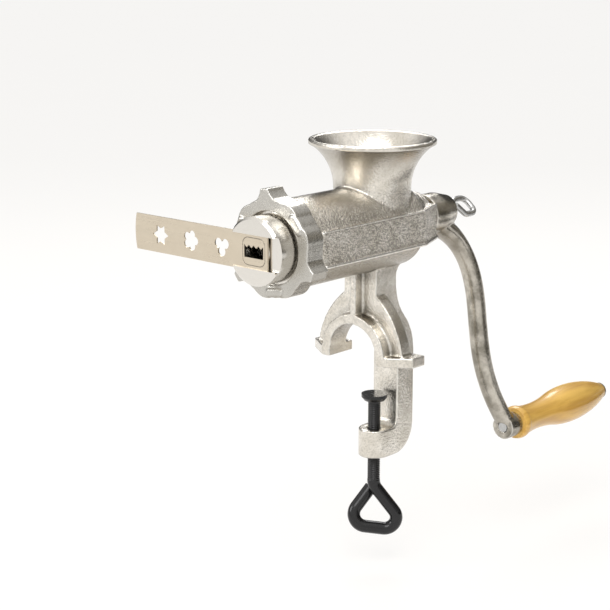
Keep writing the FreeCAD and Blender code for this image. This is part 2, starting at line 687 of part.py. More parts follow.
def make_crank_arm():
    """Cast crank: a hub on the worm's square, a swan-necked arm and a boss for the handle."""
    hub_middle_x = dim.hub_front + dim.hub_length / 2
    boss_middle_x = dim.pin_boss_front + dim.pin_boss_length / 2
    knee = dim.crank_radius * 0.28
    ankle = dim.crank_radius * 0.72
    # Each station: place along X, drop below the hub, tilt in degrees, fullness of the section
    stations = [(hub_middle_x, dim.hub_radius * 0.62, 50, 1.3),
                (dim.arm_offset - dim.hub_rear_radius, knee * 0.5, 42, 1.1),
                (dim.arm_offset, knee, 10, 1.0), (dim.arm_offset, (knee + ankle) / 2, 0, 1.0),
                (dim.arm_offset - 1, ankle, 4, 1.0),
                (dim.arm_offset + dim.arm_half_thickness, dim.crank_radius * 0.87, 26, 1.0),
                (boss_middle_x, dim.crank_radius, 36, 1.0)]
    sections = []
    for index, (offset, drop, tilt, fullness) in enumerate(stations):
        section = doc.addObject("Part::Ellipse", f"arm_section_{index}")
        bind(section, "MajorRadius", dim.arm_half_width * fullness)
        bind(section, "MinorRadius", dim.arm_half_thickness * fullness)
        upright = FreeCAD.Rotation(VEC(0, 0, 1), 90)
        section.Placement = FreeCAD.Placement(VEC(), FreeCAD.Rotation(VEC(0, 1, 0), -tilt).multiply(upright))
        bind(section, "Placement.Base.x", offset)
        bind(section, "Placement.Base.z", -drop)
        sections.append(section)
    arm = doc.addObject("Part::Loft", "arm_loft")
    arm.Sections = sections
    arm.Solid = True
    hub = cylinder_along_x("crank_hub", dim.hub_radius, dim.hub_front, dim.hub_length / 2)
    dome = doc.addObject("Part::Cone", "crank_hub_dome")
    bind(dome, "Radius1", dim.hub_radius)
    bind(dome, "Radius2", dim.hub_rear_radius)
    bind(dome, "Height", dim.hub_length / 2)
    place(dome, x=hub_middle_x, axis=VEC(0, 1, 0), angle=90)
    boss = cylinder_along_x("pin_boss", dim.pin_boss_radius, dim.pin_boss_front, dim.pin_boss_length,
                            dim.crank_radius)
    solid = doc.addObject("Part::MultiFuse", "crank_solid")
    solid.Shapes = [hub, dome, arm, boss]
    square = doc.addObject("Part::Box", "hub_square")
    width = dim.square_width + dim.thread_gap * 2
    bind(square, "Length", dim.hub_length + dim.seat_gap * 2)
    bind(square, "Width", width)
    bind(square, "Height", width)
    place(square, x=dim.hub_front - dim.seat_gap, y=-width / 2, z=-width / 2)
    entry = cylinder_along_x("hub_entry", dim.journal_radius + dim.seat_gap, dim.hub_front - dim.seat_gap,
                             1 + dim.seat_gap * 2)
    past_arm = dim.arm_half_width * 3
    pin_hole = cylinder_along_x("pin_hole", dim.pin_radius + dim.running_gap, dim.pin_boss_front - past_arm,
                                dim.pin_boss_length + past_arm * 2, dim.crank_radius)
    washer_seat = cylinder_along_x("washer_seat", dim.crank_washer_radius + dim.seat_gap * 2, hub_rear_x,
                                   dim.crank_loop_reach)
    holes = doc.addObject("Part::MultiFuse", "crank_holes")
    holes.Shapes = [square, entry, pin_hole, washer_seat]
    crank = doc.addObject("Part::Cut", "crank_arm")
    crank.Base = solid
    crank.Tool = holes
    place(crank, z=dim.axis_height, angle=-dim.crank_angle)
    return crank


def rounded_path(points, radii):
    """Straight runs through points, joined by tangent arcs of the given radii."""
    edges = []
    start = points[0]
    for before, corner, after, radius in zip(points, points[1:], points[2:], radii):
        inward = (before - corner).normalize()
        onward = (after - corner).normalize()
        half_turn = inward.getAngle(onward) / 2
        cut = radius / math.tan(half_turn)
        middle = (inward + onward).normalize()
        arc_start = corner + inward * cut
        arc_end = corner + onward * cut
        arc_middle = corner + middle * (radius / math.sin(half_turn) - radius)
        edges.append(Part.LineSegment(start, arc_start).toShape())
        edges.append(Part.Arc(arc_start, arc_middle, arc_end).toShape())
        start = arc_end
    edges.append(Part.LineSegment(start, points[-1]).toShape())
    return Part.Wire(edges)


def bent_rod(points, radii, rod_radius):
    path = rounded_path(points, radii)
    ring = Part.Wire([Part.Circle(points[0], points[1] - points[0], rod_radius).toShape()])
    return path.makePipeShell([ring], True, False)


def make_crank_screw():
    """Screw that holds the crank on its square, bent from one rod into a finger loop."""
    radius = dim.crank_screw_radius.value
    reach = dim.crank_loop_reach.value
    half = dim.crank_loop_half_width.value
    stand_off = washer_rear_x.value + reach * 0.15
    end_x = washer_rear_x.value + reach
    tip_x = hub_rear_x.value - radius - dim.crank_screw_depth.value
    tail = VEC(stand_off + radius * 0.6, -radius * 0.4, 2 * radius + dim.seat_gap.value * 2)
    shoulder_x = stand_off + reach * 0.4
    points = [VEC(tip_x, 0, 0), VEC(stand_off, 0, 0), VEC(shoulder_x, half, 0), VEC(end_x, half, 0),
              VEC(end_x, -half, 0), VEC(shoulder_x, -half, 0), tail]
    bend = 2.5 * radius
    rod = bent_rod(points, [bend] * 5, radius)
    collar = Part.makeCylinder(2 * radius, radius, VEC(washer_rear_x.value, 0, 0), VEC(1, 0, 0))
    screw = doc.addObject("Part::Feature", "crank_screw")
    screw.Shape = rod.fuse(collar)
    place(screw, z=dim.axis_height, angle=dim.crank_loop_tilt)
    return screw


def make_crank_washer():
    washer = turned("crank_screw_washer", [(hub_rear_x, dim.crank_screw_radius + dim.seat_gap * 2),
                                           (hub_rear_x, dim.crank_washer_radius),
                                           (washer_rear_x, dim.crank_washer_radius),
                                           (washer_rear_x, dim.crank_screw_radius + dim.seat_gap * 2)])
    place(washer, z=dim.axis_height)
    return washer


def place_on_handle(thing):
    """Moves a piece turned about X to the handle's axis, at the end of the hanging crank."""
    angle = math.radians(dim.crank_angle.value)
    drop = dim.crank_radius * math.cos(angle)
    place(thing, y=-dim.crank_radius * math.sin(angle), z=dim.axis_height - drop)


def make_handle():
    """Wooden grip that spins on a riveted pin."""
    bore = dim.pin_radius + dim.thread_gap
    washer_rear_face = grip_washer_x + dim.handle_washer_thickness
    rivet_x = grip_rear_x + dim.seat_gap
    pin = turned("handle_pin", [(dim.pin_boss_front, 0), (dim.pin_boss_front, dim.pin_radius),
                                (rivet_x, dim.pin_radius), (rivet_x, 0)])
    washer = turned("handle_inner_washer", [(grip_washer_x, bore), (grip_washer_x, dim.handle_washer_radius),
                                            (washer_rear_face, dim.handle_washer_radius),
                                            (washer_rear_face, bore)])
    rivet = turned("handle_end_rivet", [(rivet_x, 0), (rivet_x, dim.rivet_radius),
                                        (rivet_x + dim.rivet_thickness / 2, dim.rivet_radius),
                                        (rivet_x + dim.rivet_thickness, dim.pin_radius),
                                        (rivet_x + dim.rivet_thickness, 0)])
    # Grip outline: a bead at the inner end, a groove, a waist, a belly and a tapering tail
    bead = dim.grip_collar_radius * 0.3
    groove_x = grip_front_x + bead * 2
    neck_x = grip_front_x + dim.grip_length * 0.22
    belly_x = grip_front_x + dim.grip_length * 0.6
    run = belly_x - neck_x
    rise = dim.grip_radius - dim.grip_neck_radius
    sweep = (run * run + rise * rise) / (rise * 4)
    groove_run = neck_x - groove_x
    groove_radius = dim.grip_neck_radius + sweep - square_root(sweep * sweep - groove_run * groove_run)
    tail_run = grip_rear_x - belly_x
    tail_drop = dim.grip_radius - dim.grip_end_radius
    tail_radius = (tail_run * tail_run + tail_drop * tail_drop) / (tail_drop * 2)
    bead_rise = dim.grip_collar_radius - groove_radius
    bead_radius = (bead * bead + bead_rise * bead_rise) / (bead_rise * 2)
    grip = turned("handle_grip", [(grip_front_x, bore), (grip_front_x, groove_radius),
                                  (grip_front_x + bead, dim.grip_collar_radius), (groove_x, groove_radius),
                                  (neck_x, dim.grip_neck_radius),
                                  (neck_x + run / 2, dim.grip_neck_radius + rise / 2),
                                  (belly_x, dim.grip_radius), (grip_rear_x, dim.grip_end_radius),
                                  (grip_rear_x, bore)],
                  {1: -bead_radius, 2: -bead_radius, 3: sweep, 4: sweep, 5: -sweep, 6: -tail_radius})
    for piece in (pin, washer, rivet, grip):
        place_on_handle(piece)
    return [pin, washer, rivet, grip]


def make_clamp_pad():
    """Round pad that the clamp screw presses against the underside of the table."""
    body = new_body("clamp_pad")
    sketch = new_sketch(body, "clamp_pad_section", "XZ_Plane")
    socket = dim.nose_radius + dim.running_gap
    socket_top = pad_bottom_z + dim.nose_length + dim.seat_gap
    outline(sketch, [(socket, pad_bottom_z), (dim.pad_radius * 0.8, pad_bottom_z),
                     (dim.pad_radius, pad_bottom_z + dim.pad_thickness / 2),
                     (dim.pad_radius, -dim.table_thickness), (0, -dim.table_thickness),
                     (0, socket_top), (socket, socket_top)])
    revolve(body, sketch, "V_Axis")
    return body


def make_clamp_screw():
    """Clamp screw bent from one rod into a hand loop below the jaw."""
    radius = dim.screw_radius.value
    shoulder_z = pad_bottom_z.value - dim.seat_gap.value
    half = dim.loop_half_width.value
    bottom = -dim.loop_drop.value
    drop = -dim.screw_drop.value
    lift = radius * 1.5
    tail = VEC(-radius * 0.2, 2 * radius + dim.seat_gap.value * 3, drop - radius * 1.1)
    points = [VEC(0, 0, shoulder_z), VEC(0, 0, drop), VEC(half, 0, bottom),
              VEC(-half * 0.8, 0, bottom + lift), tail]
    rod = bent_rod(points, [2.4 * radius, 1.8 * radius, 1.9 * radius], radius)
    nose_length = dim.nose_length.value + dim.seat_gap.value
    nose = Part.makeCylinder(dim.nose_radius.value, nose_length, VEC(0, 0, shoulder_z))
    screw = doc.addObject("Part::Feature", "clamp_screw")
    screw.Shape = rod.fuse(nose)
    place(screw, axis=VEC(0, 0, 1), angle=-dim.loop_turn)
    return screw


sub_parts = [make_casting(), make_ring_nut(), make_biscuit_head(), make_pattern_strip(), make_feed_worm(),
             make_worm_stud(), *make_bearing(), make_crank_arm(), make_crank_screw(), make_crank_washer(),
             *make_handle(), make_clamp_pad(), make_clamp_screw()]
doc.recompute()

failed = [thing.Name for thing in doc.Objects if {"Invalid", "Error"} & set(thing.State)]
for piece in sub_parts:
    if piece.Shape.isNull() or not piece.Shape.isValid() or len(piece.Shape.Solids) != 1:
        failed.append(piece.Label)
if failed:
    raise RuntimeError(f"these did not build: {failed}")

os.makedirs("parts", exist_ok=True)
for piece in sub_parts:
    piece.Shape.exportStep(os.path.join("parts", f"{piece.Label}.step"))
    print(f"{piece.Label}: {piece.Shape.Volume / 1000:.1f} cm3")
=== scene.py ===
# %% [markdown]
# # A table-clamp food mincer with a biscuit press head
# This lesson dresses a packed mechanical model. The solids already have the true
# sizes and the joints, so nothing here moves or rescales them. What Blender adds is
# the look: sand-cast tin, turned and brushed metal, varnished wood, a cut thread and
# the soft edges that a casting has.

import math

import bmesh
import bpy
from mathutils import Matrix, Vector


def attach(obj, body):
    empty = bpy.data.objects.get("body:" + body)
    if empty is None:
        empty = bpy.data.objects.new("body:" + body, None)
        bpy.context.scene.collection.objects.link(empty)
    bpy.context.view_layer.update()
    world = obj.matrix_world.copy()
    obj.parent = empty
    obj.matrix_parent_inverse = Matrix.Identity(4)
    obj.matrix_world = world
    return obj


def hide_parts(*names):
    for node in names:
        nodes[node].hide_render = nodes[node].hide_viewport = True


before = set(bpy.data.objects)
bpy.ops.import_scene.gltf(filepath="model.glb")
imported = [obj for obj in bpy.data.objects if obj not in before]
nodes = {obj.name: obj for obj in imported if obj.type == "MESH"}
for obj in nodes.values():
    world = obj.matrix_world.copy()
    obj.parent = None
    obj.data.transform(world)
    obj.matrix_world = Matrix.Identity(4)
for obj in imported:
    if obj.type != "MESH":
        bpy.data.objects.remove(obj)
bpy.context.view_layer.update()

# %% [markdown]
# ## Camera
# The photograph was taken from a little above the barrel, from the outlet end and
# to one side, with a long lens. Its place was worked out from points that can be
# measured on the object, so the camera is given by where it stands, what it looks
# at and its focal length in pixels. A look-at matrix is clearer than three angles.

# %% Camera from a place, a target and a focal length
PICTURE_PIXELS = 610
FOCAL_PIXELS = 1740
SENSOR_MM = 36
camera_place = Vector((-0.9880, -0.8116, 0.3419))
camera_target = Vector((-0.0457, 0.0303, 0.0416))


def look_at(place, target):
    back = (place - target).normalized()
    right = Vector((0, 0, 1)).cross(back).normalized()
    up = back.cross(right)
    turn = Matrix((right, up, back)).transposed().to_4x4()
    return Matrix.Translation(place) @ turn


camera_data = bpy.data.cameras.new("photo_camera")
camera_data.sensor_width = SENSOR_MM
camera_data.lens = SENSOR_MM * FOCAL_PIXELS / PICTURE_PIXELS
camera = bpy.data.objects.new("photo_camera", camera_data)
camera.matrix_world = look_at(camera_place, camera_target)
bpy.context.scene.collection.objects.link(camera)
bpy.context.scene.camera = camera
print("lens: %.1f mm" % camera_data.lens)

# %% [markdown]
# ## Finishes as small node trees
# Every metal here is the same shader with other numbers: a Principled surface, some
# noise for its colour and roughness, and a bump for its grain. A small helper class
# keeps that short. It adds nodes and returns sockets, so each finish below reads as
# a recipe. All textures use object coordinates in metres, so a scale of 1000 makes
# grains about a millimetre across on every piece.

# %% A helper that builds node trees
class Finish:
    """A material whose nodes are added step by step."""

    def __init__(self, name, color, metallic, roughness):
        self.material = bpy.data.materials.new(name)
        self.material.use_nodes = True
        self.tree = self.material.node_tree
        self.shader = self.tree.nodes["Principled BSDF"]
        self.shader.inputs["Base Color"].default_value = (*color, 1)
        self.shader.inputs["Metallic"].default_value = metallic
        self.shader.inputs["Roughness"].default_value = roughness
        self.place = self.add("ShaderNodeTexCoord").outputs["Object"]
        self.normal = None

    def add(self, kind, **settings):
        node = self.tree.nodes.new(kind)
        for name, value in settings.items():
            setattr(node, name, value)
        return node

    def join(self, source, target):
        self.tree.links.new(source, target)

    def stretched(self, scale):
        """Object coordinates stretched differently along X, Y and Z."""
        mapping = self.add("ShaderNodeMapping")
        mapping.inputs["Scale"].default_value = scale
        self.join(self.place, mapping.inputs["Vector"])
        return mapping.outputs["Vector"]

    def noise(self, scale, detail=3.0, roughness=0.55, place=None):
        node = self.add("ShaderNodeTexNoise")
        node.inputs["Scale"].default_value = scale
        node.inputs["Detail"].default_value = detail
        node.inputs["Roughness"].default_value = roughness
        self.join(place or self.place, node.inputs["Vector"])
        return node.outputs["Fac"]

    def cells(self, scale):
        node = self.add("ShaderNodeTexVoronoi", feature="SMOOTH_F1")
        node.inputs["Scale"].default_value = scale
        self.join(self.place, node.inputs["Vector"])
        return node.outputs["Distance"]

    def remap(self, value, low, high, new_low, new_high):
        node = self.add("ShaderNodeMapRange", interpolation_type="SMOOTHSTEP")
        numbers = {"From Min": low, "From Max": high, "To Min": new_low, "To Max": new_high}
        for name, number in numbers.items():
            node.inputs[name].default_value = number
        self.join(value, node.inputs["Value"])
        return node.outputs["Result"]

    def math(self, operation, first, second):
        node = self.add("ShaderNodeMath", operation=operation)
        for socket, value in zip(node.inputs, (first, second)):
            if isinstance(value, (int, float)):
                socket.default_value = value
            else:
                self.join(value, socket)
        return node.outputs["Value"]

    def blend(self, amount, first, second):
        node = self.add("ShaderNodeMix", data_type="RGBA")
        self.join(amount, node.inputs["Factor"])
        for socket, value in zip((node.inputs[6], node.inputs[7]), (first, second)):
            if isinstance(value, tuple):
                socket.default_value = (*value, 1)
            else:
                self.join(value, socket)
        return node.outputs[2]

    def axis(self, letter):
        node = self.add("ShaderNodeSeparateXYZ")
        self.join(self.place, node.inputs["Vector"])
        return node.outputs[letter]

    def color(self, socket):
        self.join(socket, self.shader.inputs["Base Color"])

    def roughness(self, socket):
        self.join(socket, self.shader.inputs["Roughness"])

    def bump(self, height, depth, strength=1.0):
        """Adds a bump of the given depth in metres on top of those before it."""
        node = self.add("ShaderNodeBump")
        node.inputs["Distance"].default_value = depth
        if isinstance(strength, (int, float)):
            node.inputs["Strength"].default_value = strength
        else:
            self.join(strength, node.inputs["Strength"])
        self.join(height, node.inputs["Height"])
        if self.normal is not None:
            self.join(self.normal, node.inputs["Normal"])
        self.normal = node.outputs["Normal"]
        self.join(self.normal, self.shader.inputs["Normal"])


print("finish helper ready")

# %% [markdown]
# ## Tinned sand casting
# The body, the crank and the worm are iron cast in sand and dipped in tin. The tin
# is bright, but it keeps the grain of the sand, strongest on the flat side panels,
# finer on the stand and finest on the hopper, which is ground smoother. A picture of
# such a skin would stretch on the curves. Noise in three dimensions doesn't, so the
# grain is bump on two scales with dark pits, and its strength follows the height on
# the piece. The crank has a duller tin with a fine, even grain.

# %% Tinned casting
AXIS_HEIGHT = 0.0995
PANEL_HALF = 0.0125
MOUTH_SHOULDER = -0.0985
THREAD_PITCH = 0.003
PIT_COLOR = (0.20, 0.18, 0.15)


def tinned_casting(name, dull, bright, grain):
    """Tin between a dull and a bright tone, with a grain strength that the piece chooses."""
    finish = Finish(name, bright, 1.0, 0.2)
    patches = finish.noise(60, detail=4)
    sand = finish.noise(650, detail=4, roughness=0.62)
    tin = finish.blend(finish.remap(patches, 0.36, 0.64, 0, 1), dull, bright)
    coarse = grain(finish)
    pits = finish.math("MULTIPLY", finish.remap(sand, 0.36, 0.56, 0.5, 0), coarse)
    finish.color(cast_color_with_painted_light(finish, finish.blend(pits, tin, PIT_COLOR)))
    finish.roughness(finish.remap(sand, 0.3, 0.7, 0.25, 0.10))
    finish.bump(finish.noise(120, detail=2), 0.0007, 0.25)
    finish.bump(sand, 0.0009, coarse)
    return finish


def cast_color_with_painted_light(finish, color):
    """Painted shade underneath and in corners, and a painted highlight on sharp edges."""
    geometry = finish.add("ShaderNodeNewGeometry")
    facing = finish.add("ShaderNodeSeparateXYZ")
    finish.join(geometry.outputs["Normal"], facing.inputs["Vector"])
    # Painted shade: faces that point down are darkened towards a dark tin tone.
    under = finish.remap(facing.outputs["Z"], -0.9, 0.05, 0.75, 0)
    # Painted shade: ambient occlusion darkens corners and recesses nearly to black.
    corners = finish.add("ShaderNodeAmbientOcclusion", samples=6, only_local=True)
    corners.inputs["Distance"].default_value = 0.012
    painted_corner_shade = finish.remap(corners.outputs["AO"], 0.35, 0.88, 0.9, 0)
    # Painted highlight: sharp convex edges, found by pointiness, are made paler.
    painted_edge_highlight = finish.remap(geometry.outputs["Pointiness"], 0.515, 0.57, 0, 0.8)
    color = finish.blend(under, color, (0.26, 0.23, 0.185))
    color = finish.blend(painted_corner_shade, color, (0.13, 0.12, 0.10))
    return finish.blend(painted_edge_highlight, color, (0.80, 0.785, 0.755))


def casting_grain(finish):
    """Coarse on the panels, finer on the stand and finest on the hopper."""
    height = finish.axis("Z")
    below = finish.remap(height, AXIS_HEIGHT - 4 * PANEL_HALF, AXIS_HEIGHT - PANEL_HALF, 0.4, 1.0)
    above = finish.remap(height, AXIS_HEIGHT + PANEL_HALF, AXIS_HEIGHT + 3 * PANEL_HALF, 1.0, 0.3)
    return finish.math("MULTIPLY", below, above)


def even_grain(finish):
    """Fine all over, on the crank and the worm."""
    return 0.25


def cut_thread(finish):
    """Rings of the thread at the barrel's mouth, ahead of the shoulder."""
    along = finish.axis("X")
    wave = finish.math("SINE", finish.math("MULTIPLY", along, 2 * math.pi / THREAD_PITCH), 0)
    finish.bump(wave, 0.0005, finish.remap(along, MOUTH_SHOULDER - 0.0005, MOUTH_SHOULDER, 1, 0))


casting = tinned_casting("tinned_casting", (0.70, 0.66, 0.588), (0.84, 0.803, 0.738), casting_grain)
cut_thread(casting)
casting_tin = casting.material
crank_tin = tinned_casting("tinned_crank", (0.26, 0.24, 0.20), (0.60, 0.565, 0.50), even_grain).material
print("made", casting_tin.name, "and", crank_tin.name)

# %% [markdown]
# ## Satin ring
# The ring nut is cast as well, and then tumbled to an even satin. The recipe is the
# casting's with a shallower grain and less change of tone, and it shares the painted
# shade underneath and in corners, and the painted highlight on sharp edges.

# %% Satin ring
def satin_ring():
    finish = Finish("satin_ring", (0.62, 0.60, 0.56), 1.0, 0.3)
    patches = finish.noise(90, detail=4)
    satin = finish.blend(patches, (0.47, 0.455, 0.42), (0.60, 0.583, 0.545))
    finish.color(cast_color_with_painted_light(finish, satin))
    grain = finish.noise(900, detail=4)
    finish.roughness(finish.remap(grain, 0.3, 0.7, 0.22, 0.36))
    finish.bump(finish.noise(160, detail=2), 0.0006, 0.3)
    finish.bump(grain, 0.0004, 0.35)
    return finish.material


ring_satin = satin_ring()
print("made", ring_satin.name)

# %% [markdown]
# ## Turned head and bush
# The head and the brass bush are turned on a lathe, which leaves fine rings round the
# barrel's axis. Noise that only depends on the distance from that axis, and on the
# place along it, is the same all the way round. So it draws those rings by itself.

# %% Turned metals
def turned_metal(name, color, smooth, rough):
    finish = Finish(name, color, 1.0, smooth)
    across = finish.axis("Y")
    above = finish.math("SUBTRACT", finish.axis("Z"), AXIS_HEIGHT)
    radius = finish.math("SQRT", finish.math("ADD", finish.math("MULTIPLY", across, across),
                                             finish.math("MULTIPLY", above, above)), 0)
    along = finish.axis("X")
    ring_place = finish.add("ShaderNodeCombineXYZ")
    finish.join(radius, ring_place.inputs["X"])
    finish.join(along, ring_place.inputs["Y"])
    rings = finish.noise(2600, detail=2, place=ring_place.outputs["Vector"])
    finish.roughness(finish.remap(rings, 0.3, 0.7, smooth, rough))
    finish.bump(rings, 0.00008, 0.5)
    return finish.material


head_turned = turned_metal("turned_head", (0.74, 0.715, 0.67), 0.14, 0.26)
bush_turned = turned_metal("turned_bush", (0.62, 0.47, 0.25), 0.2, 0.34)
print("made", head_turned.name, "and", bush_turned.name)

# %% [markdown]
# ## Brushed strip
# The strip is rolled steel with scratches along its length, which come from stretching
# the coordinates before the noise. A thin line is pressed round its first outlet. It
# is too shallow for a solid, so the distance to a rounded rectangle draws it as a bump,
# and its dark colour is painted shade in the groove.

# %% Brushed strip
def brushed_strip():
    finish = Finish("brushed_strip", (0.64, 0.57, 0.46), 1.0, 0.3)
    scratches = finish.noise(900, detail=4, place=finish.stretched((1.0, 0.03, 1.0)))
    smears = finish.noise(60, detail=3)
    steel = finish.blend(smears, (0.60, 0.525, 0.415), (0.69, 0.615, 0.50))
    line = pressed_line(finish)
    # Painted shade: the pressed line is coloured dark for the shade in its groove. The bump below is its
    # real dent.
    finish.color(finish.blend(line, steel, (0.16, 0.14, 0.12)))
    finish.roughness(finish.remap(scratches, 0.3, 0.7, 0.26, 0.42))
    finish.bump(scratches, 0.00005, 0.5)
    finish.bump(line, -0.0003, 1.0)
    return finish.material


def pressed_line(finish):
    """1 on a thin line round the first outlet shape, in the form of a rounded rectangle."""
    half_width, half_height, corner, line_half = 0.0105, 0.0098, 0.005, 0.00028
    aside = finish.math("ABSOLUTE", finish.axis("Y"), 0)
    above = finish.math("ABSOLUTE", finish.math("SUBTRACT", finish.axis("Z"), AXIS_HEIGHT), 0)
    past = [finish.math("SUBTRACT", aside, half_width - corner),
            finish.math("SUBTRACT", above, half_height - corner)]
    out = [finish.math("MAXIMUM", distance, 0) for distance in past]
    squares = [finish.math("MULTIPLY", distance, distance) for distance in out]
    outside = finish.math("SQRT", finish.math("ADD", *squares), 0)
    inside = finish.math("MINIMUM", finish.math("MAXIMUM", *past), 0)
    distance = finish.math("SUBTRACT", finish.math("ADD", outside, inside), corner)
    return finish.remap(finish.math("ABSOLUTE", distance, 0), line_half * 0.4, line_half, 1, 0)


strip_brushed = brushed_strip()
print("made", strip_brushed.name)

# %% [markdown]
# ## Plated and black steel
# Small steel pieces are plated bright, with faint handling scratches. The clamp screw
# is blackened and oiled, so it is dark and still glossy. Both are plain noise in the
# roughness. The black one also has a thin coat for the oil.

# %% Plated and black steel
def plated_steel():
    finish = Finish("plated_steel", (0.58, 0.58, 0.575), 1.0, 0.2)
    marks = finish.noise(500, detail=5, roughness=0.7)
    finish.roughness(finish.remap(marks, 0.3, 0.7, 0.13, 0.32))
    finish.color(finish.blend(finish.noise(140), (0.44, 0.44, 0.435), (0.58, 0.58, 0.575)))
    finish.bump(marks, 0.00008, 0.4)
    return finish.material


def black_steel():
    finish = Finish("black_steel", (0.02, 0.02, 0.022), 0.6, 0.2)
    wear = finish.noise(260, detail=5, roughness=0.7)
    worn = finish.remap(wear, 0.62, 0.8, 0, 1)
    finish.color(finish.blend(worn, (0.016, 0.016, 0.017), (0.10, 0.10, 0.10)))
    finish.roughness(finish.remap(wear, 0.3, 0.7, 0.14, 0.3))
    finish.bump(wear, 0.0001, 0.25)
    finish.shader.inputs["Coat Weight"].default_value = 0.3
    return finish.material


steel_plated = plated_steel()
steel_black = black_steel()
print("made", steel_plated.name, "and", steel_black.name)

# %% [markdown]
# ## Varnished wood
# The grip is turned beech under varnish. Its grain runs along the handle, which is
# stretched noise again, once for the broad bands and once for the fine pores. The
# varnish is the shader's coat, because it lies over the wood and shines by itself.

# %% Varnished wood
def varnished_wood():
    finish = Finish("varnished_wood", (0.70, 0.42, 0.14), 0.0, 0.35)
    place = finish.stretched((0.05, 1.0, 1.0))
    bands = finish.noise(150, detail=3, place=place)
    pores = finish.noise(1200, detail=2, place=place)
    warm = finish.blend(finish.remap(bands, 0.3, 0.7, 0, 1), (0.58, 0.32, 0.06), (0.80, 0.50, 0.115))
    finish.color(finish.blend(finish.remap(pores, 0.62, 0.76, 0, 0.4), warm, (0.46, 0.22, 0.05)))
    finish.roughness(finish.remap(bands, 0.3, 0.7, 0.30, 0.42))
    finish.bump(pores, 0.0001, 0.25)
    finish.shader.inputs["Coat Weight"].default_value = 0.6
    finish.shader.inputs["Coat Roughness"].default_value = 0.12
    return finish.material


grip_wood = varnished_wood()
print("made", grip_wood.name)

# %% [markdown]
# ## Finishes onto the solids
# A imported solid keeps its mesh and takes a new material. The list below is the
# mincer's own parts list, with the finish of each piece.

# %% Assign finishes
FINISH_OF = {
    "body_casting": casting_tin,
    "feed_worm": crank_tin,
    "crank_arm": crank_tin,
    "ring_nut": ring_satin,
    "biscuit_head": head_turned,
    "pattern_strip": strip_brushed,
    "rear_bush": bush_turned,
    "thrust_washer": steel_plated,
    "worm_stud": steel_plated,
    "crank_screw": steel_plated,
    "crank_screw_washer": steel_plated,
    "handle_pin": steel_plated,
    "handle_inner_washer": steel_plated,
    "handle_end_rivet": steel_plated,
    "handle_grip": grip_wood,
    "clamp_pad": steel_black,
    "clamp_screw": steel_black,
}
for name, finish in FINISH_OF.items():
    mesh = nodes[name].data
    mesh.materials.clear()
    mesh.materials.append(finish)
print("finished", len(FINISH_OF), "solids")

# %% [markdown]
# ## Soft cast edges
# A casting has no sharp edge: sand rounds the corners and fills the joints. A bevel
# needs clean edge loops, which a faceted solid lacks. A voxel remesh gives an even
# skin instead, and a few smoothing passes round every edge and joint by a millimetre
# or two. Both are modifiers, so the solid itself stays as it is.

# %% Remesh and smooth the castings
CAST_SKINS = {
    "body_casting": (0.0009, 4),
    "crank_arm": (0.0009, 6),
    "ring_nut": (0.0006, 7),
    "feed_worm": (0.0010, 5),
}
for name, (voxel, passes) in CAST_SKINS.items():
    skin = nodes[name].modifiers.new("cast_skin", "REMESH")
    skin.mode = "VOXEL"
    skin.voxel_size = voxel
    skin.use_smooth_shade = True
    rounding = nodes[name].modifiers.new("cast_edges", "SMOOTH")
    rounding.factor = 0.5
    rounding.iterations = passes
print("softened", ", ".join(CAST_SKINS))

# %% [markdown]
# ## Machined edges
# Turned and stamped pieces have crisp edges with a tiny break. A narrow bevel on
# edges sharper than 35 degrees catches the light as that break does. Shading stays
# smooth across the facets of round surfaces.

# %% Bevel the machined pieces
MACHINED = {"biscuit_head": 0.0005, "pattern_strip": 0.0002, "rear_bush": 0.0003, "worm_stud": 0.0004,
            "crank_screw_washer": 0.0003, "handle_inner_washer": 0.0003, "handle_end_rivet": 0.0003,
            "clamp_pad": 0.0005, "handle_grip": 0.0004, "thrust_washer": 0.0002}
for name, width in MACHINED.items():
    piece = nodes[name]
    for face in piece.data.polygons:
        face.use_smooth = True
    edge = piece.modifiers.new("edge_break", "BEVEL")
    edge.width = width
    edge.segments = 2
    edge.limit_method = "ANGLE"
    edge.angle_limit = math.radians(35)
    edge.harden_normals = True
print("bevelled", len(MACHINED), "pieces")

# %% [markdown]
# ## Screws with a real thread
# The two screws are each bent from one rod. A tube along a path makes them: straight
# runs joined by arcs, and at each step a ring of corners square to the path. On the
# threaded run the radius of each corner depends on its angle and on the place along
# the rod, so the ridge climbs by one pitch per turn.

# %% Rods along a path, with a thread
ROD_SIDES = 28


def bent_path(corners, radii, step):
    """Points along straight runs that are joined by tangent arcs."""
    points = [Vector(corners[0])]
    for before, corner, after, radius in zip(corners, corners[1:], corners[2:], radii):
        corner = Vector(corner)
        inward = (Vector(before) - corner).normalized()
        onward = (Vector(after) - corner).normalized()
        half_turn = inward.angle(onward) / 2
        centre = corner + (inward + onward).normalized() * (radius / math.sin(half_turn))
        first = corner + inward * (radius / math.tan(half_turn)) - centre
        last = corner + onward * (radius / math.tan(half_turn)) - centre
        count = max(4, round(first.angle(last) * radius / step))
        add_run(points, centre + first, step)
        for index in range(1, count + 1):
            points.append(centre + first.normalized().slerp(last.normalized(), index / count) * radius)
    add_run(points, Vector(corners[-1]), step)
    return points


def add_run(points, end, step):
    start = points[-1]
    count = max(1, round((end - start).length / step))
    points.extend(start.lerp(end, index / count) for index in range(1, count + 1))


def thread_dip(run, angle, thread):
    """How far the surface lies below the crest, at a place along the rod and an angle round it."""
    start, end, pitch, depth = thread
    phase = (run / pitch + angle / (2 * math.pi)) % 1
    fade = min(1, max(0, min(run - start, end - run) / pitch))
    return depth * fade * abs(2 * phase - 1)


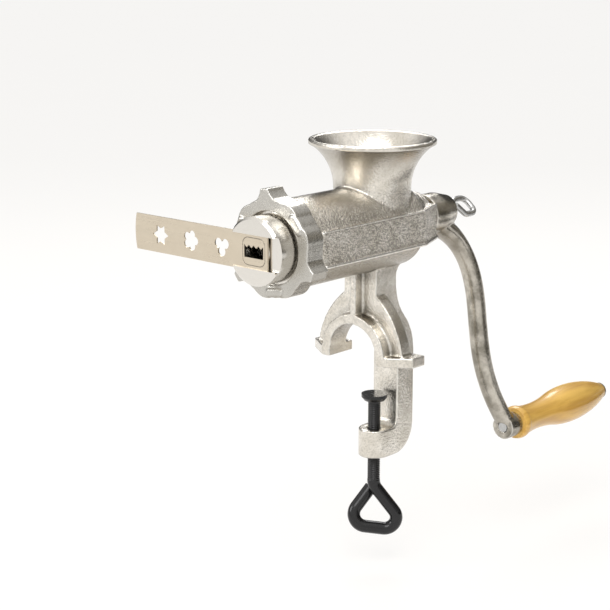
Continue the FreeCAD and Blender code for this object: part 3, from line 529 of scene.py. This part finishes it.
def add_rod(mesh, points, radius, thread=None):
    """Adds a closed tube along points to a bmesh."""
    across = (points[1] - points[0]).orthogonal()
    run = 0
    rows = []
    for index, point in enumerate(points):
        before, after = points[max(index - 1, 0)], points[min(index + 1, len(points) - 1)]
        along = (after - before).normalized()
        run += (point - before).length
        across = (across - along * across.dot(along)).normalized()
        upward = along.cross(across)
        row = []
        for side in range(ROD_SIDES):
            angle = 2 * math.pi * side / ROD_SIDES
            outward = across * math.cos(angle) + upward * math.sin(angle)
            reach = radius - (thread_dip(run, angle, thread) if thread else 0)
            row.append(mesh.verts.new(point + outward * reach))
        rows.append(row)
    for row, following in zip(rows, rows[1:]):
        for side in range(ROD_SIDES):
            after = (side + 1) % ROD_SIDES
            mesh.faces.new((row[side], row[after], following[after], following[side])).smooth = True
    mesh.faces.new(reversed(rows[0]))
    mesh.faces.new(rows[-1])


def rod_piece(name, body, finish, rods, turn):
    """One piece made of rods. It rides on a body and takes its finish from a slot."""
    shape = bmesh.new()
    for points, radius, thread in rods:
        add_rod(shape, points, radius, thread)
    shape.transform(turn)
    mesh = bpy.data.meshes.new(name)
    shape.to_mesh(mesh)
    shape.free()
    mesh.materials.append(finish)
    piece = bpy.data.objects.new(name, mesh)
    bpy.context.scene.collection.objects.link(piece)
    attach(piece, body)
    print(name, "has", len(mesh.polygons), "faces")
    return piece


print("rod helpers ready,", ROD_SIDES, "sides")

# %% [markdown]
# ## Clamp screw
# This rod is threaded from its nose to the bends and ends in a hand loop. It is drawn
# in one plane, with its tail beside the rod, and then turned to its place. The thread
# is given by where it starts and ends on the rod, its pitch and its depth.

# %% Clamp screw
FINE_STEP = 0.0003
CLAMP_ROD_RADIUS = 0.005
CLAMP_NOSE_RADIUS = 0.004
CLAMP_NOSE_TOP = -0.033
CLAMP_ROD_TOP = -0.0362
CLAMP_THREAD = (0.0008, 0.0640, 0.0015, 0.0007)
CLAMP_BENDS = (0.012, 0.009, 0.0095)
clamp_corners = [(0, 0, CLAMP_ROD_TOP), (0, 0, -0.1045), (0.029, 0, -0.1435), (-0.0232, 0, -0.136),
                 (-0.001, 0.0106, -0.110)]
clamp_path = bent_path(clamp_corners, CLAMP_BENDS, FINE_STEP)
clamp_nose = [Vector((0, 0, CLAMP_NOSE_TOP)), Vector((0, 0, CLAMP_ROD_TOP))]
clamp_rods = [(clamp_path, CLAMP_ROD_RADIUS, CLAMP_THREAD), (clamp_nose, CLAMP_NOSE_RADIUS, None)]
clamp_turned = Matrix.Rotation(math.radians(-45), 4, "Z")
clamp_piece = rod_piece("clamp_screw_threaded", "screw", steel_black,
                        clamp_rods, clamp_turned)
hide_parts("clamp_screw")

# %% [markdown]
# ## Crank screw
# A thinner rod holds the crank on the worm's end. It has a collar that presses on the
# washer and a small finger loop, whose tail rises a little to pass the rod.

# %% Crank screw
CRANK_ROD_RADIUS = 0.0024
CRANK_COLLAR_RADIUS = 0.0048
CRANK_THREAD = (0.0004, 0.0165, 0.001, 0.0004)
CRANK_BEND = 0.006
LOOP_HALF = 0.008
LOOP_NEAR = 0.1035
LOOP_FAR = 0.117
crank_corners = [(0.0676, 0, 0), (0.0915, 0, 0), (LOOP_NEAR, LOOP_HALF, 0), (LOOP_FAR, LOOP_HALF, 0),
                 (LOOP_FAR, -LOOP_HALF, 0), (LOOP_NEAR, -LOOP_HALF, 0), (0.09294, -0.00096, 0.0052)]
crank_path = bent_path(crank_corners, (CRANK_BEND,) * 5, FINE_STEP)
crank_collar = [Vector((0.087, 0, 0)), Vector((0.0894, 0, 0))]
crank_rods = [(crank_path, CRANK_ROD_RADIUS, CRANK_THREAD), (crank_collar, CRANK_COLLAR_RADIUS, None)]
crank_turned = Matrix.Translation((0, 0, AXIS_HEIGHT)) @ Matrix.Rotation(math.radians(40), 4, "X")
crank_piece = rod_piece("crank_screw_threaded", "crank_screw", steel_plated,
                        crank_rods, crank_turned)
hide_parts("crank_screw")

# %% [markdown]
# ## Bright beads along the panels
# The raised panel on each side of the barrel has a round bead on its lower edge and a
# finer one on its upper edge. Hands and cloths rub them smooth, so their tin is less
# rough than the sandy panel, and their paler colour is a painted highlight. The same
# rod helper makes all four.

# %% Panel beads
PANEL_FRONT = -0.0960
PANEL_BEND = 0.018
PANEL_REAR = 0.0455
PANEL_TAPER = 0.011
PANEL_BEND_RADIUS = 0.010
LOWER_BEAD = (0.0335, 0.0870, 0.0013)
UPPER_BEAD = (0.0325, 0.1118, 0.0006)
COARSE_STEP = 0.002


def rubbed_and_painted_highlight_tin():
    finish = Finish("rubbed_and_painted_highlight_tin", (0.84, 0.82, 0.775), 1.0, 0.16)
    sand = finish.noise(700, detail=4, roughness=0.62)
    # Painted highlight: the bead's tin is paler than the casting, so it reads as a bright line.
    finish.color(finish.blend(finish.remap(sand, 0.35, 0.6, 0, 1), (0.66, 0.635, 0.59), (0.92, 0.90, 0.86)))
    finish.roughness(finish.remap(sand, 0.3, 0.7, 0.22, 0.10))
    finish.bump(sand, 0.0004, 0.35)
    return finish.material


def panel_line(side, reach, height):
    """Corners of a bead that follows the panel from the ring to the bearing."""
    outline = ((PANEL_FRONT, reach), (PANEL_BEND, reach), (PANEL_REAR, reach - PANEL_TAPER))
    return [(along, side * out, height) for along, out in outline]


bead_rods = []
for side in (-1, 1):
    for reach, height, radius in (LOWER_BEAD, UPPER_BEAD):
        path = bent_path(panel_line(side, reach, height), (PANEL_BEND_RADIUS,), COARSE_STEP)
        bead_rods.append((path, radius, None))
rod_piece("panel_beads", "casting", rubbed_and_painted_highlight_tin(), bead_rods, Matrix.Identity(4))

# %% [markdown]
# ## Floor
# A pale floor lies just below the lowest place that the clamp screw reaches, and it
# catches a faint shadow. To the camera and in reflections it is nearly plain white,
# which Light Path allows without more light on the metal.

# %% Pale floor
FLOOR_HEIGHT = -0.1705
FLOOR_HALF = 30
SHADOW_SHARE = 0.3


def pale_floor():
    mesh = bpy.data.meshes.new("floor")
    corners = [(-1, -1), (1, -1), (1, 1), (-1, 1)]
    points = [(x * FLOOR_HALF, y * FLOOR_HALF, FLOOR_HEIGHT) for x, y in corners]
    mesh.from_pydata(points, [], [(0, 1, 2, 3)])
    floor = bpy.data.objects.new("floor", mesh)
    bpy.context.scene.collection.objects.link(floor)
    finish = Finish("pale_floor", (0.90, 0.88, 0.85), 0.0, 0.9)
    finish.color(finish.blend(finish.noise(3), (0.88, 0.85, 0.80), (0.90, 0.87, 0.825)))
    paths = finish.add("ShaderNodeLightPath")
    seen = paths.outputs["Is Camera Ray"]
    for kind in ("Is Glossy Ray", "Is Transmission Ray"):
        seen = finish.math("MAXIMUM", seen, paths.outputs[kind])
    white = finish.add("ShaderNodeEmission")
    mixed = finish.add("ShaderNodeMixShader")
    finish.join(finish.math("MULTIPLY", seen, 1 - SHADOW_SHARE), mixed.inputs["Fac"])
    finish.join(finish.shader.outputs["BSDF"], mixed.inputs[1])
    finish.join(white.outputs["Emission"], mixed.inputs[2])
    finish.join(mixed.outputs["Shader"], finish.tree.nodes["Material Output"].inputs["Surface"])
    mesh.materials.append(finish.material)


pale_floor()
print("floor at %.4f m" % FLOOR_HEIGHT)

# %% [markdown]
# ## Dark boards
# In a white room bright metal goes flat, so a studio sets dark boards beside it. Two
# of them stand here on the side that the panel faces, one above the other. The panel
# mirrors the pale gap between them and the round forms mirror their edges. The camera
# doesn't see them, and they throw no shadow.

# %% Dark boards
BOARD_HEIGHTS = ((FLOOR_HEIGHT, -0.085), (0.03, 0.48))
BOARD_MIDDLE = Vector((0.37, -0.36, 0))
BOARD_HALF = Vector((0.345, 0.36, 0))


def dark_boards():
    """One mesh of two upright boards that only the metal sees."""
    corners = []
    for low, high in BOARD_HEIGHTS:
        for side, height in ((-1, low), (1, low), (1, high), (-1, high)):
            corners.append(BOARD_MIDDLE + BOARD_HALF * side + Vector((0, 0, height)))
    mesh = bpy.data.meshes.new("dark_boards")
    mesh.from_pydata(corners, [], [(0, 1, 2, 3), (4, 5, 6, 7)])
    boards = bpy.data.objects.new("dark_boards", mesh)
    bpy.context.scene.collection.objects.link(boards)
    finish = Finish("dark_boards", (0.03, 0.028, 0.024), 0.0, 0.9)
    fade = finish.remap(finish.axis("Z"), 0.03, 0.2, 0, 1)
    finish.color(finish.blend(fade, (0.03, 0.028, 0.024), (0.2, 0.19, 0.17)))
    mesh.materials.append(finish.material)
    boards.visible_camera = False
    boards.visible_shadow = False


dark_boards()
print("dark boards:", len(BOARD_HEIGHTS))

# %% [markdown]
# ## World
# The world is white to the camera. To the metal it is bright overhead and dimmer
# towards one side, because metal only looks round when what it mirrors changes across
# it. A dot product with a leaning direction makes that change in one step.

# %% World
def soft_world():
    """White to the camera. To the metal, white overhead and dimmest on the crank's side."""
    world = bpy.data.worlds.new("soft_studio")
    bpy.context.scene.world = world
    world.use_nodes = True
    tree = world.node_tree
    place = tree.nodes.new("ShaderNodeTexCoord")
    lean = tree.nodes.new("ShaderNodeVectorMath")
    lean.operation = "DOT_PRODUCT"
    lean.inputs[1].default_value = Vector((-0.42, -0.12, 0.9))
    tree.links.new(place.outputs["Generated"], lean.inputs[0])
    level = tree.nodes.new("ShaderNodeMapRange")
    level.interpolation_type = "SMOOTHSTEP"
    for name, number in {"From Min": -0.25, "From Max": 0.7, "To Min": 0.06, "To Max": 1.0}.items():
        level.inputs[name].default_value = number
    tree.links.new(lean.outputs["Value"], level.inputs["Value"])
    seen = tree.nodes.new("ShaderNodeLightPath")
    strength = tree.nodes.new("ShaderNodeMix")
    tree.links.new(seen.outputs["Is Camera Ray"], strength.inputs["Factor"])
    tree.links.new(level.outputs["Result"], strength.inputs["A"])
    strength.inputs["B"].default_value = 1.0
    tree.links.new(strength.outputs["Result"], tree.nodes["Background"].inputs["Strength"])
    tree.nodes["Background"].inputs["Color"].default_value = (1, 0.985, 0.96, 1)


soft_world()
print("world:", bpy.context.scene.world.name)

# %% [markdown]
# ## Lamps
# Three round lamps draw the long highlights along the barrel and down the hopper. They
# are large, because a small lamp would leave hard white spots on the tin. The Standard
# view shows each colour about as it is written.

# %% Soft lamps
def soft_lamp(name, place, size, power):
    lamp = bpy.data.lights.new(name, "AREA")
    lamp.shape = "DISK"
    lamp.size = size
    lamp.energy = power
    thing = bpy.data.objects.new(name, lamp)
    thing.matrix_world = look_at(Vector(place), Vector((-0.02, 0, 0.05)))
    bpy.context.scene.collection.objects.link(thing)
    return thing


lamps = [soft_lamp("key_lamp", (-0.75, -0.35, 1.2), 1.2, 12),
         soft_lamp("side_lamp", (-1.2, 0.9, 0.6), 0.7, 5),
         soft_lamp("rear_lamp", (0.9, 0.7, 1.0), 0.7, 6)]
bpy.context.scene.view_settings.view_transform = "Standard"
print("lamps:", len(lamps))
